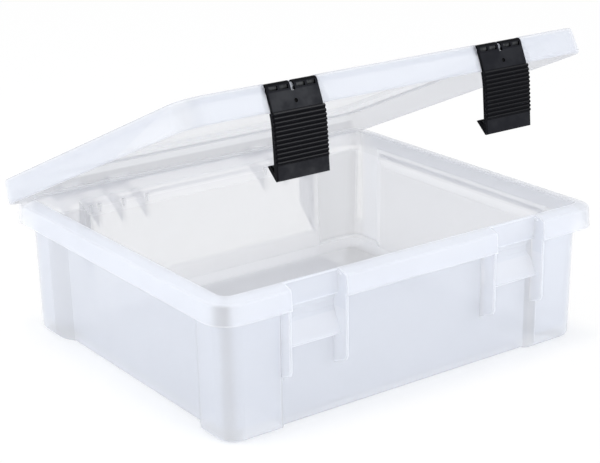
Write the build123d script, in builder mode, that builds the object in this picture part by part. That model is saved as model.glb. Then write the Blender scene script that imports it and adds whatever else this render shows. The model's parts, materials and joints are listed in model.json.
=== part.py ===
"""Translucent craft storage box: a tub, a hinged lid held open, two snap latches and two hinge pins.

Frame: X runs left to right along the latch side, Y from the latch side to the hinge side, Z up.
The origin is on the floor under the middle of the whole box, from the rim's front to the hinge knuckles.
All sizes are in millimetres.
"""

import os
from math import cos, radians, sin, tan

from build123d import *

# Tub, outside
rim_length = 406.0
rim_depth = 354.0
rim_height = 127.6
rim_corner_radius = 22.0
wall = 2.4

# Rim: a domed crown with a skirt that hangs outside the walls
shoulder_drop = 2.6
shoulder_radius = 2.2
crown_bulge = 0.66
skirt_height = 18.0
skirt_flare = 1.2
skirt_wall = 2.2
crown_width = 14.4
crown_wall = 2.6
mouth_lip_radius = 1.7
mouth_lip_height = 22.0

# Corner pillars and the panels between them, as insets from the rim's faces
pillar_inset = 10.4
pillar_corner_radius = 17.0
pillar_corner_growth = 1.0
wall_draft = 0.75
front_panel_inset = 18.2
rear_panel_inset = 20.0
side_panel_inset = 20.5
front_pillar_length = 71.0
front_step = 8.0
side_pillar_length = 69.0
side_step = 20.0
panel_shoulder_drop = 8.0
panel_shoulder_height = 18.0
foot_round = 6.0
foot_round_steps = 4

# Floor, which hangs just above what the pillars stand on
underside_height = 0.8
floor_wall = 2.7
floor_band_rise = 8.5
floor_band_run = 6.5
floor_corner_radius = 9.0
floor_corner_growth = 2.0

# Notches in the rim for the latches, with a fin on each side and a catch between; drops are from the rim's top
latch_end_distance = 95.0
latch_width = 51.0
latch_side_gap = 1.5
fin_wall = 2.3
fin_inset = 1.0
fin_toe_drop = 77.6
fin_heel_drop = 85.1
fin_chamfer = 2.0
fin_chamfer_rise = 4.0
mouth_wall_inset = 12.2
catch_top_drop = 34.6
catch_root_rise = 4.0
catch_ledge_drop = 55.6
catch_land = 1.5
catch_gap = 1.2

# Lid, modelled by its closed place and held in a frame that is swung open about the hinge
lid_overhang = 6.2
lid_rise = 5.2
lid_skirt = 23.4
lid_draft = 5.0
lid_corner_radius = 23.0
lid_wall = 2.2
lid_plate = 2.4
lid_edge_radius = 2.2
field_border = 44.0
field_rise = 3.6
field_slope_run = 3.0
field_corner_radius = 14.0
seat_bead_width = 2.0
seat_bead_inset = 8.6
seat_clearance = 0.5
lid_open_angle = 23.5

# Bays in the lid's front that the latches lie in
bay_depth = 2.9
bay_wall = 1.8
bay_bevel = 7.0
bay_side_gap = 0.5

# Latch
pivot_inset = 3.8
pivot_drop = 4.6
latch_barrel_radius = 4.0
pivot_bar_radius = 1.9
pivot_clearance = 0.08
pocket_clearance = 0.8
pocket_cheek = 1.0
web_wall = 2.4
web_foot = 1.0
web_side_gap = 0.8
snap_width = 3.2
snap_angle = -25.0
latch_plate = 2.5
latch_bend_start = 14.0
latch_bend_radius = 60.0
latch_lean = 19.0
hook_height = 14.0
hook_wall = 3.0
hook_root = 6.0
hook_gap = 0.8
hook_wall_gap = 1.0
rib_count = 12
rib_pitch = 3.5
rib_radius = 1.35
rib_height = 1.0
rib_start = 21.0
latch_neck_length = 19.5
latch_neck_inset = 1.2
window_width = 8.1
window_height = 3.6
window_drop = 1.0
window_divider = 2.0
window_centre = 13.0
latch_hole_radius = 1.8
latch_hole_drop = 13.0

# Hinge
hinge_reach = 21.8
hinge_drop = 17.1
knuckle_radius = 5.0
pin_radius = 2.0
pin_clearance = 0.06
ear_wall = 3.0
ear_pitch = 26.0
ear_end_distance = 94.5
knuckle_side_gap = 0.6
ear_root_drop = 43.6
ear_elbow_drop = 7.0
ear_elbow_reach = 7.0
lid_arm_rise = 10.0
lid_arm_depth = 1.2
ear_top_gap = 1.0
rear_fin_step_gap = 1.5
rear_fin_inset = 5.0
rear_fin_bottom_drop = 74.6
rear_fin_root_drop = 101.6
rear_fin_lap = 2.0

# How far a cut runs past the face that it leaves
overcut = 1.0

# Places worked out from the sizes above
half_length = rim_length / 2
half_depth = rim_depth / 2
front_panel_half = half_length - front_pillar_length
side_panel_half = half_depth - side_pillar_length
latch_centre = half_length - latch_end_distance
ear_centre = half_length - ear_end_distance
rear_fin_centre = front_panel_half - rear_fin_step_gap
hinge_height = rim_height - hinge_drop
catch_top = rim_height - catch_top_drop
catch_ledge = rim_height - catch_ledge_drop
fin_toe = rim_height - fin_toe_drop
fin_heel = rim_height - fin_heel_drop
ear_root = rim_height - ear_root_drop
shoulder_height = rim_height - shoulder_drop
skirt_bottom = shoulder_height - skirt_height
wall_slope = tan(radians(wall_draft))
arc_middle = 1 - sin(radians(45))
knee_height = shoulder_height - panel_shoulder_drop - panel_shoulder_height
floor_top = underside_height + floor_wall
band_top = floor_top + floor_band_rise
notch_half = latch_width / 2 + latch_side_gap
hinge_y = half_depth + hinge_reach
lid_top = rim_height + lid_rise
lid_bottom = lid_top - lid_skirt
lid_underside = lid_top - lid_plate
lid_lean = tan(radians(lid_draft)) * lid_skirt
lid_face = half_depth + lid_overhang
pivot_y = pivot_inset - lid_face
pivot_z = lid_top - pivot_drop
pocket_back = pivot_y + latch_barrel_radius + pocket_clearance
pocket_floor = pivot_z - latch_barrel_radius - pocket_clearance
latch_neck_half = latch_width / 2 - latch_neck_inset
pocket_half = latch_neck_half + bay_side_gap
panel_insets = {"front": front_panel_inset, "back": rear_panel_inset, "right": side_panel_inset,
                "left": side_panel_inset}
panel_halves = {"front": front_panel_half, "back": front_panel_half, "right": side_panel_half,
                "left": side_panel_half}
panel_steps = {"front": front_step, "back": front_step, "right": side_step, "left": side_step}
rim_reaches = {"front": half_depth, "back": half_depth, "right": half_length, "left": half_length}
wall_directions = {"front": (1, 0, 0), "right": (0, 1, 0), "back": (-1, 0, 0), "left": (0, -1, 0)}

# The tub's frame stands under the middle of the rim
tub_frame = Plane(origin=(0, (half_depth + skirt_flare - hinge_y - knuckle_radius) / 2, 0))

# The lid's frame is the tub's, swung about the hinge: coordinates in it are places with the lid closed
swing = radians(lid_open_angle)
lid_frame = Plane(
    origin=tub_frame.from_local_coords(
        (0, hinge_y - hinge_y * cos(swing) - hinge_height * sin(swing),
         hinge_height + hinge_y * sin(swing) - hinge_height * cos(swing))),
    x_dir=(1, 0, 0),
    z_dir=(0, sin(swing), cos(swing)),
)


def profile_plane(frame, x):
    """Upright plane across the box at x: its own X runs towards the hinge side and its Y runs up."""
    return Plane(origin=frame.from_local_coords(Vector(x, 0, 0)), x_dir=frame.y_dir, z_dir=frame.x_dir)


def tapered_block(frame, *sections):
    """Solid through rounded rectangles, each given as height, half length, half depth and radius."""
    with BuildPart() as block:
        for height, half_x, half_y, radius in sections:
            with BuildSketch(frame.offset(height)):
                RectangleRounded(2 * half_x, 2 * half_y, radius)
        loft(ruled=True)
    return block.part


def wall_recess(side, height, rise, grow):
    """Plan of the space in front of one panel: at rise 0 it ends at the panel, at rise 1 at the pillars."""
    draft = wall_slope * max(knee_height - height, 0)
    depth = (panel_insets[side] + draft) * (1 - rise) + (pillar_inset + draft) * rise
    panel_half = panel_halves[side] + panel_steps[side] * rise
    slant = panel_steps[side] / (panel_insets[side] - pillar_inset)
    mouth_half = panel_halves[side] + slant * (panel_insets[side] + skirt_flare + overcut)
    reach = rim_reaches[side]
    with BuildSketch(Plane(origin=tub_frame.offset(height).origin, x_dir=wall_directions[side])) as plan:
        with BuildLine():
            Polyline((-panel_half, depth - reach), (panel_half, depth - reach),
                     (mouth_half, -reach - skirt_flare - overcut), (-mouth_half, -reach - skirt_flare - overcut),
                     close=True)
        make_face()
        if grow > 0:
            offset(amount=grow, kind=Kind.INTERSECTION)
    return plan.sketch


def panel_space(side, bottom, grow):
    """Solid in front of one panel, up to the sloped shoulder where the panel meets the rim."""
    with BuildPart() as space:
        add(wall_recess(side, bottom, 0, grow))
        add(wall_recess(side, knee_height, 0, grow))
        loft(ruled=True)
        add(wall_recess(side, knee_height, 0, grow))
        add(wall_recess(side, knee_height + panel_shoulder_height, 1, grow))
        loft(ruled=True)
    return space.part


# Hollow of the tub: straight to the pillars above the floor's sloped band, less the panels
pocket_inset = pillar_inset + wall_slope * shoulder_height + wall
panel_inner = {side: rim_reaches[side] - inset - wall_slope * knee_height - wall
               for side, inset in panel_insets.items()}
floor_middle = (panel_inner["back"] - panel_inner["front"]) / 2
floor_half_depth = (panel_inner["back"] + panel_inner["front"]) / 2
with BuildPart() as hollow:
    add(tapered_block(
        tub_frame,
        (band_top, half_length - pocket_inset, half_depth - pocket_inset, pillar_corner_radius - wall),
        (rim_height + overcut, half_length - crown_width, half_depth - crown_width, rim_corner_radius - crown_width),
    ))
    for side in panel_insets:
        add(panel_space(side, 0, wall), mode=Mode.SUBTRACT)
    add(tapered_block(
        Plane(origin=tub_frame.from_local_coords((0, floor_middle, 0))),
        (floor_top, panel_inner["right"] - floor_band_run, floor_half_depth - floor_band_run,
         floor_corner_radius),
        (band_top, panel_inner["right"], floor_half_depth, floor_corner_radius + floor_corner_growth),
    ))

# Latch profile: points at a distance down the front face and a depth behind it, from the pivot
bend_end = latch_bend_start + latch_bend_radius * radians(latch_lean)


def plate_point(down, depth):
    """Place in the lid's frame of a point on the latch, down its front face and behind that face."""
    turn = min(max(down - latch_bend_start, 0) / latch_bend_radius, radians(latch_lean))
    radius = latch_bend_radius - depth
    y = latch_bend_radius - latch_barrel_radius - radius * cos(turn)
    z = -min(down, latch_bend_start) - radius * sin(turn)
    run = max(down - bend_end, 0)
    return (pivot_y + y + run * sin(turn), pivot_z + z - run * cos(turn))


def plate_length_to(height):
    """Distance down the front face at which it reaches a height, below the bend."""
    return bend_end + (plate_point(bend_end, 0)[1] - height) / cos(radians(latch_lean))


tip_z = catch_ledge - hook_gap
tip_back = -half_depth + front_panel_inset - hook_wall_gap
latch_end = plate_length_to(tip_z - hook_height)
catch_edge = plate_point(plate_length_to(catch_ledge), latch_plate)[0] + catch_gap

# Tub
with BuildPart() as tub:
    foot_inset = pillar_inset + wall_slope * shoulder_height
    foot_sections = []
    for step in range(foot_round_steps + 1):
        turn = radians(90 * step / foot_round_steps)
        tuck = foot_round * (1 - sin(turn))
        foot_sections.append((foot_round * (1 - cos(turn)), half_length - foot_inset - tuck,
                              half_depth - foot_inset - tuck, pillar_corner_radius - tuck))
    add(tapered_block(
        tub_frame,
        *foot_sections,
        (shoulder_height - crown_wall / 2, half_length - pillar_inset, half_depth - pillar_inset,
         pillar_corner_radius + pillar_corner_growth),
    ))
    for side in panel_insets:
        add(panel_space(side, -overcut, 0), mode=Mode.SUBTRACT)
    with BuildSketch(tub_frame):
        Rectangle(2 * front_panel_half, rim_depth)
        Rectangle(rim_length, 2 * side_panel_half)
    extrude(amount=underside_height, mode=Mode.SUBTRACT)

    # The rim is one section carried round each half of the path
    rim_plane = Plane(origin=tub_frame.from_local_coords((0, -half_depth, 0)), x_dir=(0, 1, 0), z_dir=(1, 0, 0))
    with BuildSketch(rim_plane):
        with BuildLine():
            outside = Line((-skirt_flare, skirt_bottom), (0, shoulder_height - shoulder_radius))
            shoulder = ThreePointArc(outside @ 1,
                                     (shoulder_radius * arc_middle, shoulder_height - shoulder_radius * arc_middle),
                                     (shoulder_radius, shoulder_height))
            crown_end = (crown_width - mouth_lip_radius, rim_height)
            crown_middle = ((shoulder_radius + crown_end[0]) / 2, shoulder_height + shoulder_drop * crown_bulge)
            crown = ThreePointArc(shoulder @ 1, crown_middle, crown_end)
            lip = RadiusArc(crown @ 1, (crown_width, rim_height - mouth_lip_radius), -mouth_lip_radius)
            Polyline(lip @ 1, (crown_width, rim_height - mouth_lip_height),
                     (crown_width - wall, rim_height - mouth_lip_height),
                     (crown_width - wall, rim_height - crown_wall), (skirt_wall, shoulder_height - crown_wall),
                     (skirt_wall - skirt_flare, skirt_bottom), outside @ 0)
        make_face()
    with BuildLine(tub_frame) as rim_path:
        FilletPolyline((0, -half_depth), (half_length, -half_depth), (half_length, half_depth),
                       (0, half_depth), radius=rim_corner_radius)
    sweep(path=rim_path.wires()[0])
    mirror(about=Plane.YZ, mode=Mode.ADD)
    add(hollow.part, mode=Mode.SUBTRACT)

    # Latch notches: the skirt and the outer crown are cut away as far as the mouth's own wall
    for centre in (-latch_centre, latch_centre):
        with BuildSketch(profile_plane(tub_frame, centre)):
            with BuildLine():
                Polyline((-half_depth - skirt_flare - overcut, knee_height),
                         (mouth_wall_inset - half_depth, knee_height),
                         (mouth_wall_inset - half_depth, rim_height + overcut),
                         (-half_depth - skirt_flare - overcut, rim_height + overcut), close=True)
            make_face()
        extrude(amount=notch_half, both=True, mode=Mode.SUBTRACT)
        panel_back = front_panel_inset + wall_slope * knee_height + wall / 2 - half_depth
        with BuildSketch(profile_plane(tub_frame, centre)):
            with BuildLine():
                Polyline((panel_back, catch_top + catch_root_rise), (front_panel_inset - half_depth, catch_top),
                         (catch_edge, catch_ledge + catch_land), (catch_edge, catch_ledge),
                         (panel_back, catch_ledge), close=True)
            make_face()
        extrude(amount=notch_half, both=True)
        for end in (-1, 1):
            with BuildSketch(profile_plane(tub_frame, centre + end * (notch_half + fin_wall / 2))):
                with BuildLine():
                    Polyline((fin_inset - half_depth, shoulder_height - crown_wall / 2),
                             (fin_inset - half_depth, fin_toe + fin_chamfer_rise),
                             (fin_inset - half_depth + fin_chamfer, fin_toe),
                             (panel_back, fin_heel), (panel_back, knee_height),
                             (crown_width - wall / 2 - half_depth, shoulder_height - crown_wall / 2), close=True)
                make_face()
            extrude(amount=fin_wall / 2, both=True)

    # Hinge ears under the rear rim, and a deeper fin at each end
    rear_face = half_depth - rear_panel_inset - wall / 2
    rear_pillar_face = half_depth - pillar_inset - wall
    for centre in (-ear_centre, ear_centre):
        for step in range(4):
            ear_x = centre + (step - 1.5) * ear_pitch
            root = rear_face if abs(ear_x) < front_panel_half else rear_pillar_face
            with BuildSketch(profile_plane(tub_frame, ear_x)):
                with BuildLine():
                    Polyline((root, ear_root), (half_depth + ear_elbow_reach, hinge_height - ear_elbow_drop),
                             (hinge_y, hinge_height - knuckle_radius), (hinge_y, hinge_height),
                             (hinge_y - knuckle_radius, lid_bottom - ear_top_gap),
                             (root, lid_bottom - ear_top_gap), close=True)
                make_face()
                with Locations((hinge_y, hinge_height)):
                    Circle(knuckle_radius)
                    Circle(pin_radius + pin_clearance, mode=Mode.SUBTRACT)
            extrude(amount=ear_wall / 2, both=True)
    for x in (-rear_fin_centre, rear_fin_centre):
        with BuildSketch(profile_plane(tub_frame, x)):
            with BuildLine():
                Polyline((rear_face, rim_height - rear_fin_root_drop),
                         (half_depth + rear_fin_inset, rim_height - rear_fin_bottom_drop),
                         (half_depth + rear_fin_inset, ear_root), (half_depth, skirt_bottom + rear_fin_lap),
                         (rear_face, skirt_bottom + rear_fin_lap), close=True)
            make_face()
        extrude(amount=fin_wall / 2, both=True)
tub.part.label = "tub"

# Lid: the skirted plate, its raised field, the bays for the latches and their pivot bars
skirt_half_length = half_length + lid_overhang
field_x = skirt_half_length - field_border
field_y = lid_face - field_border


def bay_space(centre, depth):
    """Solid in front of one latch bay's floor, with bevelled sides."""
    slant = bay_bevel / bay_depth
    back = depth - lid_face
    mouth_half = pocket_half + slant * (depth + overcut)
    with BuildPart() as bay:
        with BuildSketch(lid_frame.offset(lid_bottom - overcut)):
            with BuildLine():
                Polyline((centre - pocket_half, back), (centre + pocket_half, back),
                         (centre + mouth_half, -lid_face - overcut), (centre - mouth_half, -lid_face - overcut),
                         close=True)
            make_face()
        extrude(amount=lid_skirt + 2 * overcut)
    return bay.part


with BuildPart() as lid_hollow:
    add(tapered_block(
        lid_frame,
        (lid_bottom - overcut, skirt_half_length - lid_wall, lid_face - lid_wall, lid_corner_radius - lid_wall),
        (lid_underside, skirt_half_length - lid_wall - lid_lean, lid_face - lid_wall - lid_lean,
         lid_corner_radius - lid_wall - lid_lean),
    ))
    add(tapered_block(
        lid_frame,
        (lid_underside - overcut, field_x - lid_plate, field_y - lid_plate, field_corner_radius - lid_plate),
        (lid_top + field_rise - lid_plate, field_x - field_slope_run - lid_plate,
         field_y - field_slope_run - lid_plate, field_corner_radius - field_slope_run - lid_plate),
    ))
    for centre in (-latch_centre, latch_centre):
        add(bay_space(centre, bay_depth + bay_wall), mode=Mode.SUBTRACT)

with BuildPart() as lid:
    add(tapered_block(
        lid_frame,
        (lid_bottom, skirt_half_length, lid_face, lid_corner_radius),
        (lid_top, skirt_half_length - lid_lean, lid_face - lid_lean, lid_corner_radius - lid_lean),
    ))
    fillet(lid.faces().sort_by(Axis.Z)[-1].edges(), lid_edge_radius)
    add(tapered_block(
        lid_frame,
        (lid_top - lid_plate / 2, field_x, field_y, field_corner_radius),
        (lid_top + field_rise, field_x - field_slope_run, field_y - field_slope_run,
         field_corner_radius - field_slope_run),
    ))
    for centre in (-latch_centre, latch_centre):
        add(bay_space(centre, bay_depth), mode=Mode.SUBTRACT)
    add(lid_hollow.part, mode=Mode.SUBTRACT)

    # The bead that meets the rim's crown when the lid is closed
    bead_bottom = rim_height + seat_clearance
    with BuildSketch(lid_frame.offset(bead_bottom)):
        RectangleRounded(rim_length - 2 * seat_bead_inset, rim_depth - 2 * seat_bead_inset,
                         rim_corner_radius - seat_bead_inset)
        RectangleRounded(rim_length - 2 * seat_bead_inset - 2 * seat_bead_width,
                         rim_depth - 2 * seat_bead_inset - 2 * seat_bead_width,
                         rim_corner_radius - seat_bead_inset - seat_bead_width, mode=Mode.SUBTRACT)
    extrude(amount=lid_underside - bead_bottom + lid_plate / 2)

    for centre in (-latch_centre, latch_centre):
        # The pocket is open to the front and to the top, with a bar across it
        with BuildSketch(profile_plane(lid_frame, centre)):
            with BuildLine():
                Polyline((-lid_face - overcut, pocket_floor), (pocket_back, pocket_floor),
                         (pocket_back, lid_top + overcut), (-lid_face - overcut, lid_top + overcut), close=True)
            make_face()
        extrude(amount=pocket_half, both=True, mode=Mode.SUBTRACT)
        with BuildSketch(profile_plane(lid_frame, centre)):
            with Locations((pivot_y, pivot_z)):
                Circle(pivot_bar_radius)
        extrude(amount=pocket_half + pocket_cheek / 2, both=True)
        with BuildSketch(profile_plane(lid_frame, centre)):
            with BuildLine():
                Polyline((pivot_y - pivot_bar_radius, pivot_z + pivot_bar_radius),
                         (pivot_y - pivot_bar_radius, pivot_z - pivot_bar_radius),
                         (bay_depth - lid_face, pocket_floor - web_foot),
                         (bay_depth + bay_wall - lid_face, pocket_floor - web_foot),
                         (pocket_back + web_foot, lid_underside),
                         (pocket_back + web_foot, lid_top - lid_plate / 4), close=True)
            make_face()
        extrude(amount=web_wall / 2, both=True)
        for end in (-1, 1):
            with BuildSketch(profile_plane(lid_frame, centre + end * (pocket_half + pocket_cheek / 2))):
                with BuildLine():
                    Polyline((bay_depth - lid_face - pocket_cheek, pocket_floor),
                             (bay_depth + bay_wall - lid_face + pocket_cheek, pocket_floor),
                             (pocket_back + web_foot, lid_underside),
                             (pocket_back + web_foot, lid_top - lid_plate / 4),
                             (bay_depth - lid_face - pocket_cheek, lid_top - lid_plate / 4), close=True)
                make_face()
            extrude(amount=pocket_cheek / 2, both=True)

    # Hinge knuckles on arms from the rear skirt, between the tub's ears
    for centre in (-ear_centre, ear_centre):
        for step in (-1, 1):
            with BuildSketch(profile_plane(lid_frame, centre + step * ear_pitch)):
                with BuildLine():
                    Polyline((lid_face - lid_arm_depth, lid_bottom), (hinge_y, hinge_height - knuckle_radius),
                             (hinge_y, hinge_height + knuckle_radius),
                             (lid_face - lid_arm_depth - lid_lean / 2, lid_bottom + lid_arm_rise), close=True)
                make_face()
                with Locations((hinge_y, hinge_height)):
                    Circle(knuckle_radius)
                    Circle(pin_radius + pin_clearance, mode=Mode.SUBTRACT)
            extrude(amount=(ear_pitch - ear_wall) / 2 - knuckle_side_gap, both=True)
lid.part.label = "lid"
finished = [tub, lid]

# Hinge pins, from the outer face of the first ear to that of the last
for side, centre in (("left", -ear_centre), ("right", ear_centre)):
    with BuildPart() as hinge_pin:
        with BuildSketch(profile_plane(tub_frame, centre)):
            with Locations((hinge_y, hinge_height)):
                Circle(pin_radius)
        extrude(amount=1.5 * ear_pitch + ear_wall / 2, both=True)
        chamfer(hinge_pin.edges(), pin_radius / 5)
    hinge_pin.part.label = f"hinge_pin_{side}"
    finished.append(hinge_pin)

# Latches: a barrel that clips over the bar, a ribbed plate and an upturned hook
for side, centre in (("left", -latch_centre), ("right", latch_centre)):
    with BuildPart() as latch:
        with BuildSketch(profile_plane(lid_frame, centre)):
            with BuildLine():
                front_top = Line(plate_point(0, 0), plate_point(latch_bend_start, 0))
                front_bend = ThreePointArc(front_top @ 1, plate_point((latch_bend_start + bend_end) / 2, 0),
                                           plate_point(bend_end, 0))
                front_low = Line(front_bend @ 1, plate_point(latch_end, 0))
                Polyline(front_low @ 1, plate_point(latch_end, latch_plate / 2), (tip_back, tip_z),
                         (tip_back - hook_wall, tip_z), plate_point(latch_end - hook_root, latch_plate))
                back_low = Line(plate_point(latch_end - hook_root, latch_plate), plate_point(bend_end, latch_plate))
                back_bend = ThreePointArc(back_low @ 1,
                                          plate_point((latch_bend_start + bend_end) / 2, latch_plate),
                                          plate_point(latch_bend_start, latch_plate))
                Polyline(back_bend @ 1, plate_point(0, latch_plate), front_top @ 0)
            make_face()
            with Locations((pivot_y, pivot_z)):
                Circle(latch_barrel_radius)
            with Locations([plate_point(rib_start + step * rib_pitch, rib_radius - rib_height)
                            for step in range(rib_count)]):
                Circle(rib_radius)
            with Locations((pivot_y, pivot_z)):
                Circle(pivot_bar_radius + pivot_clearance, mode=Mode.SUBTRACT)
                with Locations(Rotation(0, 0, snap_angle)):
                    Rectangle(2 * latch_barrel_radius, snap_width, align=(Align.MIN, Align.CENTER),
                              mode=Mode.SUBTRACT)
        extrude(amount=latch_width / 2, both=True)

        # Openings: the middle for the bar's web, a window on each side of it and a hole below
        with BuildSketch(profile_plane(lid_frame, centre)):
            with Locations((pivot_y, pivot_z)):
                Rectangle(4 * latch_barrel_radius, 2 * latch_barrel_radius + 2 * web_side_gap)
        extrude(amount=web_wall / 2 + web_side_gap, both=True, mode=Mode.SUBTRACT)
        window_step = (window_width + window_divider) / 2
        for spot in (-window_centre - window_step, -window_centre + window_step,
                     window_centre - window_step, window_centre + window_step):
            with BuildSketch(profile_plane(lid_frame, centre + spot)):
                with Locations((pivot_y - latch_barrel_radius, pivot_z - window_drop)):
                    Rectangle(2 * latch_barrel_radius, window_height)
            extrude(amount=window_width / 2, both=True, mode=Mode.SUBTRACT)

        # The neck that lies in the bay is narrower than the ribbed plate below the lid
        neck_end = plate_point(latch_neck_length, latch_plate / 2)[1]
        for end in (-1, 1):
            with BuildSketch(profile_plane(lid_frame, centre + end * (latch_width / 2 + overcut))):
                with Locations((pivot_y, neck_end)):
                    Rectangle(4 * latch_barrel_radius, 2 * latch_neck_length, align=(Align.CENTER, Align.MIN))
            extrude(amount=latch_neck_inset + overcut, both=True, mode=Mode.SUBTRACT)
        hole_y, hole_z = plate_point(latch_hole_drop, 0)
        hole_plane = Plane(origin=lid_frame.from_local_coords(Vector(centre, hole_y, hole_z)),
                           x_dir=lid_frame.x_dir, z_dir=lid_frame.y_dir)
        with BuildSketch(hole_plane):
            Circle(latch_hole_radius)
        extrude(amount=2 * latch_plate, both=True, mode=Mode.SUBTRACT)
    latch.part.label = f"latch_{side}"
    finished.append(latch)

os.makedirs("parts", exist_ok=True)
for piece in finished:
    export_step(piece.part, f"parts/{piece.part.label}.step")
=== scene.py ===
"""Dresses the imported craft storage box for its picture.

The frame gives the moulded solids in metres: X runs along the latch side, Y towards the hinge, Z up.
The lid is held open, its two black latches hang from it, and the box stands on a pale studio floor.
"""

import json
import logging
import math
from abc import ABC, abstractmethod
from dataclasses import dataclass
from enum import Enum
from typing import Any, Optional, Union

import bmesh
import bpy
from mathutils import Euler, Matrix, Vector


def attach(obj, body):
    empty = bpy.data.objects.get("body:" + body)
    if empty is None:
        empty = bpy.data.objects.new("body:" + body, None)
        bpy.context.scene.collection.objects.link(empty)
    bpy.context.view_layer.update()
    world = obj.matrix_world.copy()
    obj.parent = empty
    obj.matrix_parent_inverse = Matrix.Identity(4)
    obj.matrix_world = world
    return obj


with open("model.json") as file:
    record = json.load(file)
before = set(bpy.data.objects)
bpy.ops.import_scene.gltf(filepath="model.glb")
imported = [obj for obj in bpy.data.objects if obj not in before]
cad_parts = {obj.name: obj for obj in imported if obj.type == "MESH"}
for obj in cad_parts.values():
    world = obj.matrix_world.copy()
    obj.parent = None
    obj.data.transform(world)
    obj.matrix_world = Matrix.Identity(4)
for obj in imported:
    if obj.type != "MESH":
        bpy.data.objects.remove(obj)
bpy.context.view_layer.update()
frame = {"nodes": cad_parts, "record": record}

LOG = logging.getLogger("craft_box")

Triple = tuple[float, float, float]
Span = tuple[float, float]

ORIGIN: Triple = (0.0, 0.0, 0.0)
WHITE: Triple = (1.0, 1.0, 1.0)
NOISE_MIDDLE = 0.5


def joint(child: str) -> dict[str, Any]:
    """Joint of the frame that moves one body."""
    joints = frame["record"]["behaviour"]["joints"]
    return next(entry for entry in joints if entry["child"] == child)


def pivot(child: str) -> Triple:
    """Place that one body of the frame turns about."""
    return tuple(joint(child)["pos_m"])


OPENING = math.radians(-joint("lid")["range_deg"][0])
ALONG_LID: Triple = (0.0, math.cos(OPENING), -math.sin(OPENING))
OFF_LID: Triple = (0.0, math.sin(OPENING), math.cos(OPENING))


class Ray(Enum):
    """Kinds of ray that see plain white in the surround."""

    CAMERA = "Is Camera Ray"
    TRANSMISSION = "Is Transmission Ray"


class Edge(Enum):
    """Which edges of a moulding a mask picks out."""

    CONVEX = True
    CONCAVE = False


class Side(Enum):
    """Sides of the box, and of each latch."""

    LEFT = -1.0
    RIGHT = 1.0

    def __str__(self) -> str:
        """Word for the side in the name of a piece."""
        return self.name.lower()


@dataclass(frozen=True)
class Mottle:
    """Unevenness of a moulding: waves per metre, number of finer layers and their weight."""

    scale: float
    detail: float = 2.0
    roughness: float = 0.5


class Signal:
    """A shader socket that takes part in Python expressions."""

    def __init__(self, graph: "Graph", socket: bpy.types.NodeSocket) -> None:
        """Keep the socket and the graph that it belongs to."""
        self.graph = graph
        self.socket = socket

    def __add__(self, other: "Value") -> "Signal":
        """Sum of this value and another."""
        return self.graph.maths("ADD", self, other)

    def __radd__(self, other: "Value") -> "Signal":
        """Sum with this value on the right."""
        return self.graph.maths("ADD", other, self)

    def __sub__(self, other: "Value") -> "Signal":
        """This value less another."""
        return self.graph.maths("SUBTRACT", self, other)

    def __rsub__(self, other: "Value") -> "Signal":
        """Another value less this one."""
        return self.graph.maths("SUBTRACT", other, self)

    def __mul__(self, other: "Value") -> "Signal":
        """Product of this value and another."""
        return self.graph.maths("MULTIPLY", self, other)

    def __abs__(self) -> "Signal":
        """This value without its sign."""
        return self.graph.maths("ABSOLUTE", self)


Value = Union[Signal, float]


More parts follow.
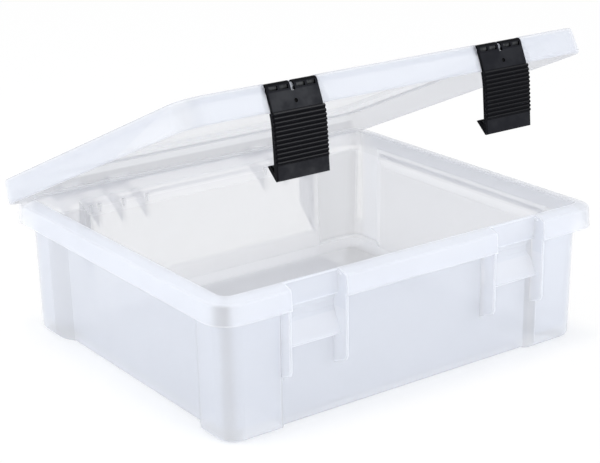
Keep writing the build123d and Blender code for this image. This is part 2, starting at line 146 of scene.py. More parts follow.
class Graph:
    """Node tree of a material or of the world, built from expressions.

    The Mix node's share and colours go by number, since its other kinds of value have the same names.
    """

    mix_inputs = (0, 6, 7)
    mix_output = 2
    edge_samples = 6
    bevel_samples = 4
    facing_inwards: Span = (0.02, -0.12)
    hollow_edge: Span = (0.001, -0.001)

    def __init__(self, owner: Union[bpy.types.Material, bpy.types.World]) -> None:
        """Clear the tree of a material or a world.

        Args:
            owner: What the tree belongs to.
        """
        self.owner = owner
        owner.use_nodes = True
        self.tree = owner.node_tree
        self.tree.nodes.clear()

    @classmethod
    def of_material(cls, name: str) -> "Graph":
        """Start a new material.

        Args:
            name: Name of the material.

        Returns:
            Its empty tree.
        """
        return cls(bpy.data.materials.new(name))

    def node(self, kind: str, settings: Optional[dict[str, Any]] = None,
             sockets: Optional[dict[Union[str, int], Any]] = None, out: Union[str, int] = 0) -> Signal:
        """Add a node, set it up, and feed its sockets.

        Args:
            kind: Type name of the node.
            settings: Properties to set first.
            sockets: Values or signals by the name or number of the input.
            out: Name or number of the output that is returned.

        Returns:
            The output as a signal.
        """
        made = self.tree.nodes.new(kind)
        for key, value in (settings or {}).items():
            setattr(made, key, value)
        for key, value in (sockets or {}).items():
            if isinstance(value, Signal):
                self.tree.links.new(value.socket, made.inputs[key])
            else:
                made.inputs[key].default_value = value
        return Signal(self, made.outputs[out])

    def maths(self, operation: str, first: Value, second: Value = 0.0) -> Signal:
        """One Math node on two values."""
        return self.node("ShaderNodeMath", {"operation": operation}, {0: first, 1: second})

    def either(self, first: Signal, *others: Signal) -> Signal:
        """Largest of several masks.

        Args:
            first: One mask.
            others: Further masks.

        Returns:
            The largest value at each place.
        """
        for other in others:
            first = self.maths("MAXIMUM", first, other)
        return first

    def vector(self, operation: str, first: Signal, second: Any = ORIGIN, out: str = "Vector") -> Signal:
        """One Vector Math node on two vectors."""
        return self.node("ShaderNodeVectorMath", {"operation": operation}, {0: first, 1: second}, out)

    def along(self, first: Signal, second: Any) -> Signal:
        """Length of one vector along another."""
        return self.vector("DOT_PRODUCT", first, second, "Value")

    def step(self, value: Value, low: float, high: float) -> Signal:
        """Smooth step from 0 to 1.

        Args:
            value: What is mapped.
            low: Where the step begins.
            high: Where it ends. It may lie below the beginning.

        Returns:
            The step, between 0 and 1.
        """
        return self.node("ShaderNodeMapRange", {"interpolation_type": "SMOOTHSTEP"},
                         {"Value": value, "From Min": low, "From Max": high})

    def blend(self, share: Value, first: Any, second: Any) -> Signal:
        """Mix two colours.

        Args:
            share: How much of the second colour shows, from 0 to 1.
            first: First colour or signal.
            second: Second colour or signal.

        Returns:
            The mixed colour.
        """
        made = self.tree.nodes.new("ShaderNodeMix")
        made.data_type = "RGBA"
        for index, value in zip(self.mix_inputs, (share, first, second)):
            if isinstance(value, Signal):
                self.tree.links.new(value.socket, made.inputs[index])
            elif isinstance(value, tuple):
                made.inputs[index].default_value = (*value, 1.0)
            else:
                made.inputs[index].default_value = value
        return Signal(self, made.outputs[self.mix_output])

    def mix(self, share: Value, first: Signal, second: Signal) -> Signal:
        """Mix two shaders, of which the second has the share."""
        return self.node("ShaderNodeMixShader", {}, {0: share, 1: first, 2: second})

    def place(self) -> Signal:
        """Place on the piece, in metres."""
        return self.node("ShaderNodeTexCoord", out="Object")

    def normal(self) -> Signal:
        """Way that the surface faces."""
        return self.node("ShaderNodeTexCoord", out="Normal")

    def parts(self, vector: Signal) -> tuple[Signal, Signal, Signal]:
        """The three parts of a vector, one by one.

        Args:
            vector: What is taken apart.

        Returns:
            Its parts along X, Y and Z.
        """
        made = self.tree.nodes.new("ShaderNodeSeparateXYZ")
        self.tree.links.new(vector.socket, made.inputs[0])
        return Signal(self, made.outputs[0]), Signal(self, made.outputs[1]), Signal(self, made.outputs[2])

    def noise(self, mottle: Mottle) -> Signal:
        """Noise that stays on the piece, from 0 to 1.

        Args:
            mottle: How fine and how rough the noise is.

        Returns:
            The noise's value.
        """
        return self.node("ShaderNodeTexNoise", {}, {
            "Vector": self.place(), "Scale": mottle.scale, "Detail": mottle.detail,
            "Roughness": mottle.roughness})

    def edges(self, kind: Edge, reach: float, gain: float) -> Signal:
        """Mask that is 1 on an edge and 0 on the flat.

        Args:
            kind: Outer edges or inner corners.
            reach: How far from the edge the mask runs.
            gain: How strongly an edge shows.

        Returns:
            The mask.
        """
        open_share = self.node("ShaderNodeAmbientOcclusion",
                               {"samples": self.edge_samples, "inside": kind.value, "only_local": True},
                               {"Distance": reach}, "AO")
        return self.step((1.0 - open_share) * gain, 0.0, 1.0)

    def relief(self, height: Signal, distance: float, strength: float, softness: float) -> Signal:
        """Normal of a surface with small bumps and soft edges.

        Args:
            height: Height of the bumps, from 0 to 1.
            distance: Height that 1 stands for.
            strength: How strongly the bumps show.
            softness: Radius by which edges look rounded.

        Returns:
            The normal.
        """
        rounded = self.node("ShaderNodeBevel", {"samples": self.bevel_samples}, {"Radius": softness})
        return self.node("ShaderNodeBump", {}, {
            "Height": height, "Distance": distance, "Strength": strength, "Normal": rounded})

    def beyond(self, middle: Triple, half_x: float, half_y: float,
               lengthwise: Triple = (0.0, 1.0, 0.0)) -> Signal:
        """Distance outside a rectangle as seen from above it, negative inside it.

        Args:
            middle: Middle of the rectangle.
            half_x: Half its length along X.
            half_y: Half its depth.
            lengthwise: Way along which its depth runs.

        Returns:
            The distance in metres.
        """
        away = self.vector("SUBTRACT", self.place(), middle)
        aside, _, _ = self.parts(away)
        return self.either(abs(aside) - half_x, abs(self.along(away, lengthwise)) - half_y)

    def facing_in(self, middle: Triple, half_x: float, half_y: float) -> Signal:
        """Mask of the faces that look towards the middle of a hollow moulding.

        Args:
            middle: A place inside the hollow.
            half_x: Half length of the hollow, out to its walls' inner faces.
            half_y: Half depth of the hollow.

        Returns:
            The mask, 1 on the inner faces.
        """
        away = self.vector("SUBTRACT", self.place(), middle)
        outward = self.along(self.vector("NORMALIZE", away), self.normal())
        hollow = self.step(self.beyond(middle, half_x, half_y), *self.hollow_edge)
        return self.step(outward, *self.facing_inwards) * hollow

    def finish(self, surface: Signal) -> Union[bpy.types.Material, bpy.types.World]:
        """Send a shader to the output.

        Args:
            surface: The shader.

        Returns:
            The finished material or world.
        """
        kind = "World" if isinstance(self.owner, bpy.types.World) else "Material"
        output = self.tree.nodes.new(f"ShaderNodeOutput{kind}")
        self.tree.links.new(surface.socket, output.inputs["Surface"])
        return self.owner


@dataclass(frozen=True)
class MilkyPlastic(ABC):
    """Translucent moulded plastic: part of the light goes straight through, the rest is scattered.

    A subclass says which faces look inwards, where the moulding is whiter or thinner, and where shade is
    painted.
    The body is the share of light that doesn't go straight through, and the glow the share of that
    which comes out behind. Edges, clouds and thin places change them. Reaches, the softness and the
    ripple are lengths in metres.
    """

    # Outer and inner tints are painted light: outer faces lavender as under the bluish lamps, faces that
    # look inwards neutral and lighter.
    outer_tint: Triple = (0.795, 0.825, 0.895)
    inner_tint: Triple = (0.92, 0.91, 0.915)
    # Whiter tint: double moulding on the tub, a painted highlight on the lid's front corners.
    pale_tint: Triple = (0.88, 0.895, 0.935)
    shade_tint: Triple = (0.60, 0.595, 0.60)
    # Colour of the painted shade on edges that get no painted highlight.
    dark_edge_tint: Triple = (0.34, 0.35, 0.40)
    crease_tint: Triple = (0.24, 0.25, 0.28)
    through_tint: Triple = (0.93, 0.945, 0.98)
    cloud: Mottle = Mottle(14.0, 1.2, 0.4)
    cloud_share: float = 0.12
    cloud_body: float = 0.06
    cloud_height: float = 0.7
    grain: Mottle = Mottle(900.0, 2.0, 0.6)
    grain_roughness: float = 0.12
    grain_height: float = 0.05
    ripple: float = 0.00012
    ripple_strength: float = 0.6
    # Reach, gain and shares of the convex-edge mask: painted highlight and shade on the edges, and more
    # opacity there.
    edge_reach: float = 0.0015
    edge_gain: float = 3.0
    edge_share: float = 0.55
    inner_edge_share: float = 0.3
    edge_body: float = 0.2
    edge_softness: float = 0.0009
    # Painted shade in inner corners, from ambient occlusion: its reach, gain and shares outside and inside.
    crease_reach: float = 0.004
    crease_gain: float = 1.6
    outer_crease: float = 0.12
    inner_crease: float = 0.5
    body: float = 0.47
    thinness: float = 0.17
    glow: float = 0.35
    roughness: float = 0.34
    refraction: float = 1.49

    @abstractmethod
    def inner(self, graph: Graph) -> Signal:
        """Mask of the faces that look inwards."""

    @abstractmethod
    def pale(self, graph: Graph) -> Signal:
        """Mask of the places that look whiter: where the moulding is double, and where a highlight is
        painted.
        """

    @abstractmethod
    def shaded(self, graph: Graph) -> Signal:
        """Mask of the places that look darker."""

    @abstractmethod
    def thin(self, graph: Graph) -> Signal:
        """Mask of the places that more light goes through."""

    @abstractmethod
    def lit_edges(self, graph: Graph, inner: Signal) -> Signal:
        """Mask of the places whose edges get a painted highlight. Edges elsewhere get painted shade."""

    def creased(self, graph: Graph) -> Value:
        """Mask of the places whose inner corners get painted shade."""
        return 1.0

    def tint(self, graph: Graph, cloud: Signal, edge: Signal) -> Signal:
        """Colour of the skin.

        Args:
            graph: Node tree that the colour is part of.
            cloud: Slow variation of the moulding.
            edge: Mask of the outer edges.

        Returns:
            The colour.
        """
        inner = self.inner(graph)
        outside = graph.blend(self.pale(graph), self.outer_tint, self.pale_tint)
        # Painted light: faces that look inwards take the neutral, lighter inner tint.
        plain = graph.blend(inner, outside, self.inner_tint)
        shaded = graph.blend(self.shaded(graph), plain, self.shade_tint)
        clouded = graph.blend(cloud * self.cloud_share, shaded, WHITE)
        # Painted shade in inner corners, deeper on the faces that look inwards.
        crease_shade = graph.edges(Edge.CONCAVE, self.crease_reach, self.crease_gain) * self.creased(graph)
        depth = self.outer_crease + inner * (self.inner_crease - self.outer_crease)
        creased = graph.blend(crease_shade * depth, clouded, self.crease_tint)
        # Painted highlight on the edges that lit_edges picks out, painted shade on the other edges.
        edge_light_and_shade = graph.blend(self.lit_edges(graph, inner), self.dark_edge_tint, WHITE)
        share = self.edge_share - inner * (self.edge_share - self.inner_edge_share)
        return graph.blend(edge * share, creased, edge_light_and_shade)

    def material(self, name: str) -> bpy.types.Material:
        """Build the plastic.

        Args:
            name: Name of the material.

        Returns:
            The finished material.
        """
        graph = Graph.of_material(name)
        cloud = graph.noise(self.cloud)
        grain = graph.noise(self.grain)
        edge = graph.edges(Edge.CONVEX, self.edge_reach, self.edge_gain)
        height = cloud * self.cloud_height + grain * self.grain_height
        skin = graph.node("ShaderNodeBsdfPrincipled", {}, {
            "Base Color": self.tint(graph, cloud, edge),
            "Roughness": self.roughness + (grain - NOISE_MIDDLE) * self.grain_roughness,
            "IOR": self.refraction,
            "Normal": graph.relief(height, self.ripple, self.ripple_strength, self.edge_softness)})
        through = graph.node("ShaderNodeBsdfTranslucent", {}, {"Color": (*self.through_tint, 1.0)})
        lit = graph.mix(self.glow, skin, through)
        clear = graph.node("ShaderNodeBsdfTransparent", {}, {"Color": (*WHITE, 1.0)})
        uneven = self.body + (cloud - NOISE_MIDDLE) * self.cloud_body
        share = uneven + edge * self.edge_body - self.thin(graph) * self.thinness
        return graph.finish(graph.mix(share, clear, lit))


@dataclass(frozen=True)
class TubPlastic(MilkyPlastic):
    """Milky plastic of the tub: neutral inside as painted light, whiter on the rim, the catches and their
    fins.

    Each pair says where a mask begins and where it is full, as a place in metres or a part of the normal.
    """

    middle: Triple = (0.0, -0.0128, 0.085)
    mouth_half_x: float = 0.1895
    mouth_half_y: float = 0.1635
    catch_centre: float = pivot("latch_right")[0]
    rear: Span = (0.136, 0.140)
    rear_wall: Span = (0.1456, 0.1450)
    ears: Span = (0.1450, 0.1470)
    rim: Span = (0.1062, 0.1068)
    raised: Span = (0.1051, 0.1056)
    under_ledge: Span = (0.1036, 0.0976)
    catch: Span = (0.0299, 0.0296)
    catch_front: Span = (-0.1729, -0.1735)
    above_catch: Span = (0.0936, 0.0946)
    notch: Span = (0.0274, 0.0270)
    right_band: Span = (0.178, 0.184)
    right_pillar: Span = (0.1395, 0.1405)
    pillar_front: Span = (-0.160, -0.161)
    facing_left: Span = (-0.5, -0.8)
    slanted: Span = (0.30, 0.62)
    above_floor: Span = (0.025, 0.035)
    above_feet: Span = (0.010, 0.012)
    corner_shade: float = 0.45
    raised_corner_shade: float = 0.55
    band_shade: float = 0.35
    ear_shade: float = 0.55

    def inner(self, graph: Graph) -> Signal:
        """Mask of the faces that look into the tub, and of the whole rear.

        Args:
            graph: Node tree that the mask is part of.

        Returns:
            The mask.
        """
        _, depth, _ = graph.parts(graph.place())
        mouth = graph.facing_in(self.middle, self.mouth_half_x, self.mouth_half_y)
        return graph.either(graph.step(depth, *self.rear), mouth)

    def pale(self, graph: Graph) -> Signal:
        """Mask of the rim and of the fronts of catches and fins, without the notches' walls.

        Args:
            graph: Node tree that the mask is part of.

        Returns:
            The mask.
        """
        aside, depth, height = graph.parts(graph.place())
        from_catch = abs(abs(aside) - self.catch_centre)
        catch = graph.step(from_catch, *self.catch) * graph.step(depth, *self.catch_front)
        fronts = graph.either(graph.step(height, *self.rim), catch)
        notch = graph.step(from_catch, *self.notch) * graph.step(height, *self.above_catch)
        return fronts * (1.0 - notch)

    def shaded(self, graph: Graph) -> Signal:
        """Mask of the rounded corners, the right band, the hinge ears and the right pillar's left flank.

        Args:
            graph: Node tree that the mask is part of.

        Returns:
            The mask.
        """
        aside, depth, height = graph.parts(graph.place())
        facing_x, facing_y, _ = graph.parts(graph.normal())
        slant = graph.maths("MINIMUM", abs(facing_x), abs(facing_y))
        raised = graph.step(height, *self.raised)
        corner_shade = self.corner_shade + raised * self.raised_corner_shade
        corners = graph.step(slant, *self.slanted) * corner_shade * (1.0 - self.inner(graph))
        right_band = raised * graph.step(aside, *self.right_band) * self.band_shade
        ears = graph.step(depth, *self.ears) * (1.0 - raised) * self.ear_shade
        pillar = graph.step(aside, *self.right_pillar) * graph.step(depth, *self.pillar_front)
        flank = graph.step(facing_x, *self.facing_left) * pillar * (1.0 - raised)
        return graph.either(right_band, corners, ears, flank)

    def creased(self, graph: Graph) -> Value:
        """Mask of what lies below the mouth's ledge, whose inner corners get painted shade."""
        _, _, height = graph.parts(graph.place())
        return graph.step(height, *self.under_ledge)

    def thin(self, graph: Graph) -> Signal:
        """Mask of the rear wall, which lets the hinge ears be seen from inside, and of the rim above it.

        Args:
            graph: Node tree that the mask is part of.

        Returns:
            The mask.
        """
        _, depth, height = graph.parts(graph.place())
        wall_or_rim = graph.either(graph.step(depth, *self.rear_wall), graph.step(height, *self.raised))
        return graph.step(depth, *self.rear) * graph.step(height, *self.above_floor) * wall_or_rim

    def lit_edges(self, graph: Graph, inner: Signal) -> Signal:
        """Mask of the outer faces above the feet."""
        _, _, height = graph.parts(graph.place())
        return (1.0 - inner) * graph.step(height, *self.above_feet)


@dataclass(frozen=True)
class LidPlastic(MilkyPlastic):
    """Milky plastic of the lid: painted shade below and in the rear skirt, painted highlight on its front
    corners.

    Each pair says where a mask begins and where it is full, as a place in metres or a part of the normal.
    """

    # Painted light: the faces that look down into the box take this neutral tint.
    inner_tint: Triple = (0.88, 0.87, 0.875)
    shade_tint: Triple = (0.40, 0.40, 0.42)
    edge_share: float = 0.7
    inner_edge_share: float = 0.12
    inner_crease: float = 0.2
    ripple: float = 0.00004
    below_middle: Triple = (0.0, -0.005, 0.06)
    no_limit: float = 1.0
    hinge: Triple = pivot("lid")
    hinge_to_middle: float = 0.1988
    front: float = -0.1800
    field_half_x: float = 0.1652
    field_half_y: float = 0.1392
    border_edge: Span = (-0.002, 0.0)
    skirt_top: float = 0.0234
    facet_length: float = 0.12
    facet_edge: Span = (-0.006, 0.006)
    facing_aside: Span = (0.45, 0.75)
    facing_front: Span = (-0.6, -0.9)
    rear: Span = (0.12, 0.14)
    rear_skirt: Span = (0.0140, 0.0110)
    towards_front: Span = (0.08, -0.12)
    facing_up: Span = (0.25, 0.45)
    short_of_up: Span = (0.96, 0.85)
    lit_facet: Span = (0.5, 0.9)
    paleness: float = 0.12
    field_shade: float = 0.32
    border_shade: float = 0.25
    front_shade: float = 0.3
    rounding_shade: float = 0.55
    field_thinness: float = 0.7
    inner_lit: float = 0.5

    def from_centre(self, graph: Graph) -> Signal:
        """Way from the lid's middle, at the hinge's level when it is closed."""
        return graph.vector("SUBTRACT", graph.place(), self.centre())

    def centre(self) -> Triple:
        """Middle of the lid, at the hinge's level when it is closed.

        Returns:
            The place, in metres.
        """
        _, depth, height = self.hinge
        _, back, down = (self.hinge_to_middle * part for part in ALONG_LID)
        return (0.0, depth - back, height - down)

    def border(self, graph: Graph) -> Signal:
        """Mask of the border round the raised field, on both sides."""
        outside = graph.beyond(self.centre(), self.field_half_x, self.field_half_y, ALONG_LID)
        return graph.step(outside, *self.border_edge)

    def inner(self, graph: Graph) -> Signal:
        """Mask of the faces that look down into the box."""
        return graph.facing_in(self.below_middle, self.no_limit, self.no_limit)

    def pale(self, graph: Graph) -> Signal:
        """Mask of a painted highlight on the skirt's long front corners, with some paleness all over.

        Args:
            graph: Node tree that the mask is part of.

        Returns:
            The mask.
        """
        away = self.from_centre(graph)
        back = graph.along(away, ALONG_LID) - self.front
        level = graph.along(away, OFF_LID)
        reach = (self.skirt_top - level) * (self.facet_length / self.skirt_top)
        facing_x, _, _ = graph.parts(graph.normal())
        # Painted highlight: the rounded corner of the skirt, where the lamps' reflection falls.
        facet = graph.step(reach - back, *self.facet_edge) * graph.step(abs(facing_x), *self.facing_aside)
        return self.paleness + facet * (1.0 - self.paleness)

    def shaded(self, graph: Graph) -> Signal:
        """Mask of the underside, of the rear skirt's inside and of the rounded top edge.

        Args:
            graph: Node tree that the mask is part of.

        Returns:
            The mask.
        """
        _, depth, _ = graph.parts(graph.place())
        level = graph.along(self.from_centre(graph), OFF_LID)
        forward = graph.along(graph.normal(), ALONG_LID)
        upward = graph.along(graph.normal(), OFF_LID)
        inner = self.inner(graph)
        border_shade = self.border_shade + graph.step(depth, *self.towards_front) * self.front_shade
        under = inner * (self.field_shade + self.border(graph) * (border_shade - self.field_shade))
        rear = graph.step(depth, *self.rear) * graph.step(forward, *self.facing_front)
        skirt = rear * graph.step(level, *self.rear_skirt)
        edge = graph.step(upward, *self.facing_up) * graph.step(upward, *self.short_of_up)
        rounding = edge * (1.0 - inner) * self.rounding_shade
        return graph.either(under, skirt, rounding)

    def thin(self, graph: Graph) -> Signal:
        """Mask of the raised field, which lets more light through than the border."""
        return (1.0 - self.border(graph)) * self.field_thinness

    def lit_edges(self, graph: Graph, inner: Signal) -> Signal:
        """Mask of the long front corners, and in part of the inside."""
        return graph.either(graph.step(self.pale(graph), *self.lit_facet), inner * self.inner_lit)


@dataclass(frozen=True)
class BlackLatchPlastic:
    """Black moulded plastic: a dull body with a satin sheen on the flats and on the tops of the ribs.

    Each pair says where a mask begins and where it is full: across the latch, down from its pivot, as a
    part of the normal, or as a value of the cloud.
    """

    pivot: Triple
    sheen: float = 1.0
    # Painted shade and painted light: the deep tint is the shade of grooves, the rib band and the left
    # flank, the lit tint the forward flats.
    deep_tint: Triple = (0.0022, 0.0022, 0.0034)
    open_tint: Triple = (0.0070, 0.0074, 0.0105)
    # Colour of the painted highlight on convex edges and rib tops.
    edge_tint: Triple = (0.05, 0.052, 0.058)
    roughness: float = 0.5
    cloud_roughness: float = 0.2
    specular: float = 0.05
    refraction: float = 1.5
    coat_roughness: float = 0.34
    cloud: Mottle = Mottle(60.0, 3.0, 0.6)
    grain: Mottle = Mottle(2500.0, 2.0, 0.6)
    grain_height: float = 0.00003
    grain_strength: float = 0.5
    groove_reach: float = 0.0013
    groove_gain: float = 2.5
    edge_reach: float = 0.0006
    edge_gain: float = 1.5
    edge_softness: float = 0.0003
    # Shares of the painted edge highlight, even and with the cloud.
    edge_wear: float = 0.2
    cloudy_wear: float = 0.3
    right_of_flank: Span = (-0.0239, -0.0233)
    below_barrel: Span = (0.0036, 0.0046)
    below_neck: Span = (0.0188, 0.0196)
    below_ribs: Span = (0.0590, 0.0598)
    facing_front: Span = (-0.55, -0.85)
    facing_up: Span = (0.25, 0.6)
    glossy_cloud: Span = (0.35, 0.7)
    least_gloss: float = 0.4
    more_gloss: float = 0.9
    barrel_sheen: float = 0.08
    neck_sheen: float = 0.34
    groove_sheen: float = 0.01
    plate_sheen: float = 0.36
    rib_sheen: float = 0.9
    rib_depth: float = 0.8

    def gloss(self, graph: Graph, cloud: Signal) -> tuple[Signal, Signal]:
        """Where the skin shines.

        Args:
            graph: Node tree that the masks are part of.
            cloud: Slow variation of the moulding.

        Returns:
            The coat's weight, and the mask of the flats that face forwards, which the painted light makes
            lighter.
        """
        away = graph.vector("SUBTRACT", graph.place(), self.pivot)
        across, _, _ = graph.parts(away)
        drop = 0.0 - graph.along(away, OFF_LID)
        _, facing_back, facing_up = graph.parts(graph.normal())
        front = graph.step(facing_back, *self.facing_front)
        # The left flank is left out of both masks: it gets no sheen and keeps the painted shade of the deep
        # tint.
        body = graph.step(across, *self.right_of_flank)
        below_barrel, below_neck, below_ribs = (
            graph.step(drop, *span) for span in (self.below_barrel, self.below_neck, self.below_ribs))
        ribs = below_neck - below_ribs
        barrel_and_neck = self.barrel_sheen + below_barrel * (self.neck_sheen - self.barrel_sheen)
        grooves = below_neck * (self.groove_sheen - self.neck_sheen)
        plate = below_ribs * (self.plate_sheen - self.groove_sheen)
        uneven = self.least_gloss + graph.step(cloud, *self.glossy_cloud) * self.more_gloss
        flats = front * (barrel_and_neck + grooves + plate) * uneven
        tops = ribs * graph.step(facing_up, *self.facing_up) * self.rib_sheen
        return (flats + tops) * body * self.sheen, front * body * (1.0 - ribs * self.rib_depth)

    def material(self, name: str) -> bpy.types.Material:
        """Build the plastic.

        Args:
            name: Name of the material.

        Returns:
            The finished material.
        """
        graph = Graph.of_material(name)
        cloud = graph.noise(self.cloud)
        groove_shade = graph.edges(Edge.CONCAVE, self.groove_reach, self.groove_gain)
        edge = graph.edges(Edge.CONVEX, self.edge_reach, self.edge_gain)
        weight, flat = self.gloss(graph, cloud)
        # Painted light and shade: forward flats lighter, grooves, the rib band and the left flank darker.
        tint = graph.blend(flat * (1.0 - groove_shade), self.deep_tint, self.open_tint)
        # Painted highlight on the convex edges, patchy with the cloud.
        edge_highlight = edge * (self.edge_wear + cloud * self.cloudy_wear)
        return graph.finish(graph.node("ShaderNodeBsdfPrincipled", {}, {
            "Base Color": graph.blend(edge_highlight, tint, self.edge_tint),
            "Roughness": self.roughness + (cloud - NOISE_MIDDLE) * self.cloud_roughness,
            "Specular IOR Level": self.specular,
            "IOR": self.refraction,
            "Normal": graph.relief(graph.noise(self.grain), self.grain_height, self.grain_strength,
                                   self.edge_softness),
            "Coat Weight": weight,
            "Coat Roughness": self.coat_roughness}))


@dataclass(frozen=True)
class FloorPlastic:
    """Dull plastic of two tones at the bottom of a window or a hole of a latch."""

    colour: Triple
    darkening: float = 0.45
    speckle: Mottle = Mottle(220.0, 3.0, 0.6)
    speckle_edge: Span = (0.35, 0.65)
    roughness: float = 0.6
    speckle_roughness: float = 0.2
    specular: float = 0.15

    def material(self, name: str) -> bpy.types.Material:
        """Build the plastic.

        Args:
            name: Name of the material.

        Returns:
            The finished material.
        """
        graph = Graph.of_material(name)
        speckle = graph.noise(self.speckle)
        darker = tuple(self.darkening * part for part in self.colour)
        return graph.finish(graph.node("ShaderNodeBsdfPrincipled", {}, {
            "Base Color": graph.blend(graph.step(speckle, *self.speckle_edge), darker, self.colour),
            "Roughness": self.roughness + (speckle - NOISE_MIDDLE) * self.speckle_roughness,
            "Specular IOR Level": self.specular}))


@dataclass(frozen=True)
class PinPlastic:
    """White plastic of the hinge pins."""

    colour: Triple = (0.80, 0.82, 0.85)
    darkening: float = 0.94
    cloud: Mottle = Mottle(80.0)
    roughness: float = 0.4
    cloud_roughness: float = 0.1

    def material(self, name: str) -> bpy.types.Material:
        """Build the plastic.

        Args:
            name: Name of the material.

        Returns:
            The finished material.
        """
        graph = Graph.of_material(name)
        cloud = graph.noise(self.cloud)
        darker = tuple(self.darkening * part for part in self.colour)
        return graph.finish(graph.node("ShaderNodeBsdfPrincipled", {}, {
            "Base Color": graph.blend(cloud, self.colour, darker),
            "Roughness": self.roughness + (cloud - NOISE_MIDDLE) * self.cloud_roughness}))


@dataclass(frozen=True)
class Softbox:
    """One square lamp that faces the box, with its width in metres and its power in watts."""

    name: str
    place: Triple
    size: float
    power: float
    tint: Triple = WHITE
    aim: Triple = (0.0, 0.0, 0.12)

    def build(self) -> None:
        """Hang the lamp."""
        light = bpy.data.lights.new(self.name, "AREA")
        light.shape = "SQUARE"
        light.size = self.size
        light.energy = self.power
        light.color = self.tint
        lamp = bpy.data.objects.new(self.name, light)
        lamp.location = self.place
        way = Vector(self.aim) - Vector(self.place)
        lamp.rotation_euler = way.to_track_quat("-Z", "Y").to_euler()
        bpy.context.scene.collection.objects.link(lamp)
        LOG.info("%s of %.1f W", self.name, self.power)


@dataclass
class Studio:
    """Pale floor, soft lamps and a white surround.

    The camera sees the floor mixed with plain white: a little of it under the box, so that the shadow
    shows, and most of it beyond the shadow's reach.
    """

    floor_radius: float = 6.0
    floor_segments: int = 96
    floor_colour: Triple = (0.93, 0.93, 0.93)
    floor_white: float = 0.93
    floor_white_below: float = 0.25
    box_middle: Triple = (0.0, -0.0128, 0.0)
    box_half_x: float = 0.193
    box_half_y: float = 0.167
    shadow_reach: float = 0.035
    horizon: float = 0.34
    ceiling: float = 0.95
    lamps: tuple[Softbox, ...] = (
        Softbox("left_softbox", (-1.9, 0.75, 1.0), 2.0, 22.5, (0.88, 0.925, 1.0)),
        Softbox("right_softbox", (0.9, -2.0, 1.0), 2.2, 27.0, (0.88, 0.925, 1.0)),
        Softbox("top_softbox", (-0.2, 0.2, 2.2), 1.6, 13.5),
    )

    def build(self) -> None:
        """Make the floor, the surround and the lamps."""
        self._floor()
        self._surround()
        for lamp in self.lamps:
            lamp.build()

    def _floor(self) -> None:
        """Make the floor, which looks almost white except under and near the box."""
        form = bmesh.new()
        bmesh.ops.create_circle(form, cap_ends=True, segments=self.floor_segments, radius=self.floor_radius)
        mesh = bpy.data.meshes.new("studio_floor")
        form.to_mesh(mesh)
        form.free()
        floor = bpy.data.objects.new("studio_floor", mesh)
        bpy.context.scene.collection.objects.link(floor)
        graph = Graph.of_material("floor_paper")
        paper = graph.node("ShaderNodeBsdfDiffuse", {}, {"Color": (*self.floor_colour, 1.0)})
        white = graph.node("ShaderNodeEmission", {}, {"Color": (*WHITE, 1.0), "Strength": 1.0})
        seen = graph.node("ShaderNodeLightPath", out=Ray.CAMERA.value)
        from_box = graph.beyond(self.box_middle, self.box_half_x, self.box_half_y)
        spread = graph.step(from_box, 0.0, self.shadow_reach)
        share = self.floor_white_below + spread * (self.floor_white - self.floor_white_below)
        mesh.materials.append(graph.finish(graph.mix(seen * share, paper, white)))
        LOG.info("studio floor, %.0f m across", 2 * self.floor_radius)

    def _surround(self) -> None:
        """Make the world: white to the camera and through clear plastic, softer as a light."""
        world = bpy.data.worlds.new("white_surround")
        bpy.context.scene.world = world
        graph = Graph(world)
        seen = graph.either(*(graph.node("ShaderNodeLightPath", out=ray.value) for ray in Ray))
        _, _, upward = graph.parts(graph.node("ShaderNodeTexCoord", out="Generated"))
        strength = graph.node("ShaderNodeMapRange", {}, {
            "Value": upward, "To Min": self.horizon, "To Max": self.ceiling})
        lamp = graph.node("ShaderNodeBackground", {}, {"Color": (*WHITE, 1.0), "Strength": strength})
        white = graph.node("ShaderNodeBackground", {}, {"Color": (*WHITE, 1.0), "Strength": 1.0})
        graph.finish(graph.mix(seen, lamp, white))
        LOG.info("white surround")


@dataclass
class Viewpoint:
    """The photograph's camera: where it stands and how it is turned."""

    place: Triple = (-0.80405, -1.14456, 0.57093)
    turn_degrees: Triple = (71.1388, 1.0077, -35.7272)
    lens: float = 96.07
    sensor_width: float = 36.0
    clip_end: float = 50.0

    def build(self) -> None:
        """Make the camera and give it to the scene."""
        camera_data = bpy.data.cameras.new("photo_camera")
        camera_data.lens = self.lens
        camera_data.sensor_width = self.sensor_width
        camera_data.clip_end = self.clip_end
        camera = bpy.data.objects.new("photo_camera", camera_data)
        camera.location = self.place
        camera.rotation_euler = Euler([math.radians(angle) for angle in self.turn_degrees], "XYZ")
        bpy.context.scene.collection.objects.link(camera)
        bpy.context.scene.camera = camera
        LOG.info("camera at %s, lens %.1f mm", self.place, self.lens)


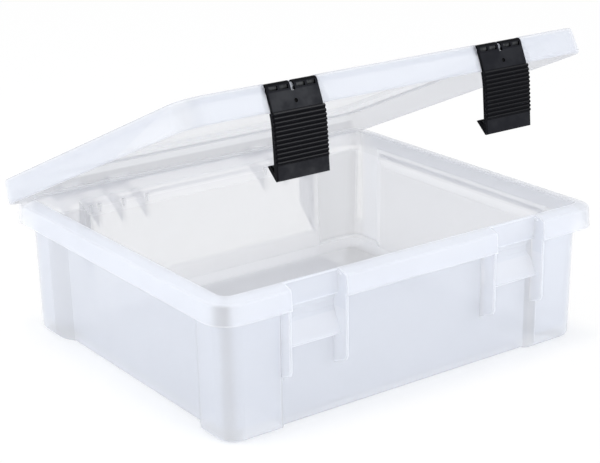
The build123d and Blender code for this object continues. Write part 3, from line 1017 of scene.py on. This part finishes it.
@dataclass
class SnapLatch:
    """One latch: the moulded latch of the frame, with the floors of its windows and of its hole.

    The floors are made round the bar that the latch turns on, as if it ran through the origin and the
    lid were closed, and then take the place and the slant of the open lid.
    """

    side: Side
    floor_inner: float = 0.0020
    floor_outer: float = 0.0026
    floor_reach: Span = (0.0028, 0.0232)
    floor_start: float = math.radians(-110.0)
    floor_sweep: float = math.radians(200.0)
    floor_steps: int = 28
    barrel_radius: float = 0.0040
    hole_drop: float = 0.013
    hole_radius: float = 0.00175
    hole_segments: int = 28
    hole_floor_depth: float = 0.0012
    hole_floor_thickness: float = 0.0012
    hole_dish: float = 0.0004
    hole_lip: float = 0.3

    def build(self, material: bpy.types.Material, grey: bpy.types.Material,
              dark: bpy.types.Material) -> None:
        """Dress the moulded latch and add its floors.

        Args:
            material: What the latch is made of.
            grey: What the floors of its windows look like.
            dark: What the floor of its hole looks like.
        """
        dress([f"latch_{self.side}"], material)
        for hand in Side:
            self._keep(self._window_floor(hand.value), f"window_floor_{self.side}_{hand}", grey)
        self._keep(self._hole_floor(), f"hole_floor_{self.side}", dark)

    @staticmethod
    def _tip(form: bmesh.types.BMesh, angle: float) -> None:
        """Turn a whole mesh about the X axis."""
        bmesh.ops.rotate(form, verts=form.verts[:], cent=ORIGIN, matrix=Matrix.Rotation(angle, 3, "X"))

    def _window_floor(self, sign: float) -> bmesh.types.BMesh:
        """Curved floor behind the windows on one side of the latch's middle.

        Args:
            sign: -1 for the left side, 1 for the right.

        Returns:
            The floor's mesh, a part of a tube round the bar.
        """
        form = bmesh.new()
        near, far = (sign * reach for reach in self.floor_reach)
        section = ((near, self.floor_inner), (near, self.floor_outer), (far, self.floor_outer),
                   (far, self.floor_inner))
        first = form.faces.new([form.verts.new((x, -radius, 0.0)) for x, radius in section])
        self._tip(form, self.floor_start)
        bmesh.ops.spin(form, geom=[first, *first.edges, *first.verts], cent=ORIGIN, axis=(1.0, 0.0, 0.0),
                       dvec=ORIGIN, angle=self.floor_sweep, steps=self.floor_steps, use_merge=False)
        bmesh.ops.recalc_face_normals(form, faces=form.faces[:])
        return form

    def _hole_floor(self) -> bmesh.types.BMesh:
        """Dished floor of the hole below the windows.

        Returns:
            The floor's mesh, a thin disc set into the barrel's front.
        """
        form = bmesh.new()
        bmesh.ops.create_cone(form, cap_ends=True, segments=self.hole_segments, radius1=self.hole_radius,
                              radius2=self.hole_radius, depth=self.hole_floor_thickness)
        front = max(form.faces, key=lambda face: face.calc_center_median().z)
        bmesh.ops.inset_region(form, faces=[front], thickness=self.hole_radius * self.hole_lip,
                               depth=-self.hole_dish)
        self._tip(form, math.pi / 2)
        depth = self.hole_floor_depth + self.hole_floor_thickness / 2 - self.barrel_radius
        bmesh.ops.translate(form, verts=form.verts[:], vec=(0.0, depth, -self.hole_drop))
        return form

    def _keep(self, form: bmesh.types.BMesh, name: str, material: bpy.types.Material) -> None:
        """Set a mesh in its place on the latch, make an object of it, and let it ride on the latch.

        Args:
            form: The mesh, which is freed.
            name: Name of the piece.
            material: What it is made of.
        """
        self._tip(form, -OPENING)
        bmesh.ops.translate(form, verts=form.verts[:], vec=pivot(f"latch_{self.side}"))
        mesh = bpy.data.meshes.new(name)
        form.to_mesh(mesh)
        form.free()
        mesh.materials.append(material)
        piece = bpy.data.objects.new(name, mesh)
        bpy.context.scene.collection.objects.link(piece)
        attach(piece, f"latch_{self.side}")
        LOG.info("%s has %d faces", name, len(mesh.polygons))


def dress(names: list[str], material: bpy.types.Material) -> None:
    """Give some pieces of the frame a material.

    Args:
        names: Names of the pieces.
        material: What they are made of.
    """
    for name in names:
        for slot in frame["nodes"][name].material_slots:
            slot.material = material
        LOG.info("%s wears %s", name, material.name)


@dataclass
class CraftBox:
    """The box: its moulded pieces and what they are made of."""

    tub_finish: MilkyPlastic = TubPlastic()
    lid_finish: MilkyPlastic = LidPlastic()
    left_latch_finish: BlackLatchPlastic = BlackLatchPlastic(pivot("latch_left"))
    right_latch_finish: BlackLatchPlastic = BlackLatchPlastic(pivot("latch_right"), sheen=0.5)
    window_finish: FloorPlastic = FloorPlastic((0.085, 0.086, 0.088))
    hole_finish: FloorPlastic = FloorPlastic((0.003, 0.003, 0.0035))
    pin_finish: PinPlastic = PinPlastic()

    def build(self) -> None:
        """Dress every moulded piece of the frame and finish the latches."""
        dress(["tub"], self.tub_finish.material("tub_plastic"))
        dress(["lid"], self.lid_finish.material("lid_plastic"))
        dress(["hinge_pin_left", "hinge_pin_right"], self.pin_finish.material("pin_plastic"))
        grey = self.window_finish.material("window_floor_plastic")
        dark = self.hole_finish.material("hole_floor_plastic")
        for side, finish in zip(Side, (self.left_latch_finish, self.right_latch_finish)):
            SnapLatch(side).build(finish.material(f"latch_plastic_{side}"), grey, dark)


def main() -> None:
    """Build the studio, the camera and the box."""
    logging.basicConfig(level=logging.INFO, format="%(message)s")
    bpy.context.scene.view_settings.view_transform = "Standard"
    Viewpoint().build()
    Studio().build()
    CraftBox().build()


if __name__ == "__main__":
    main()
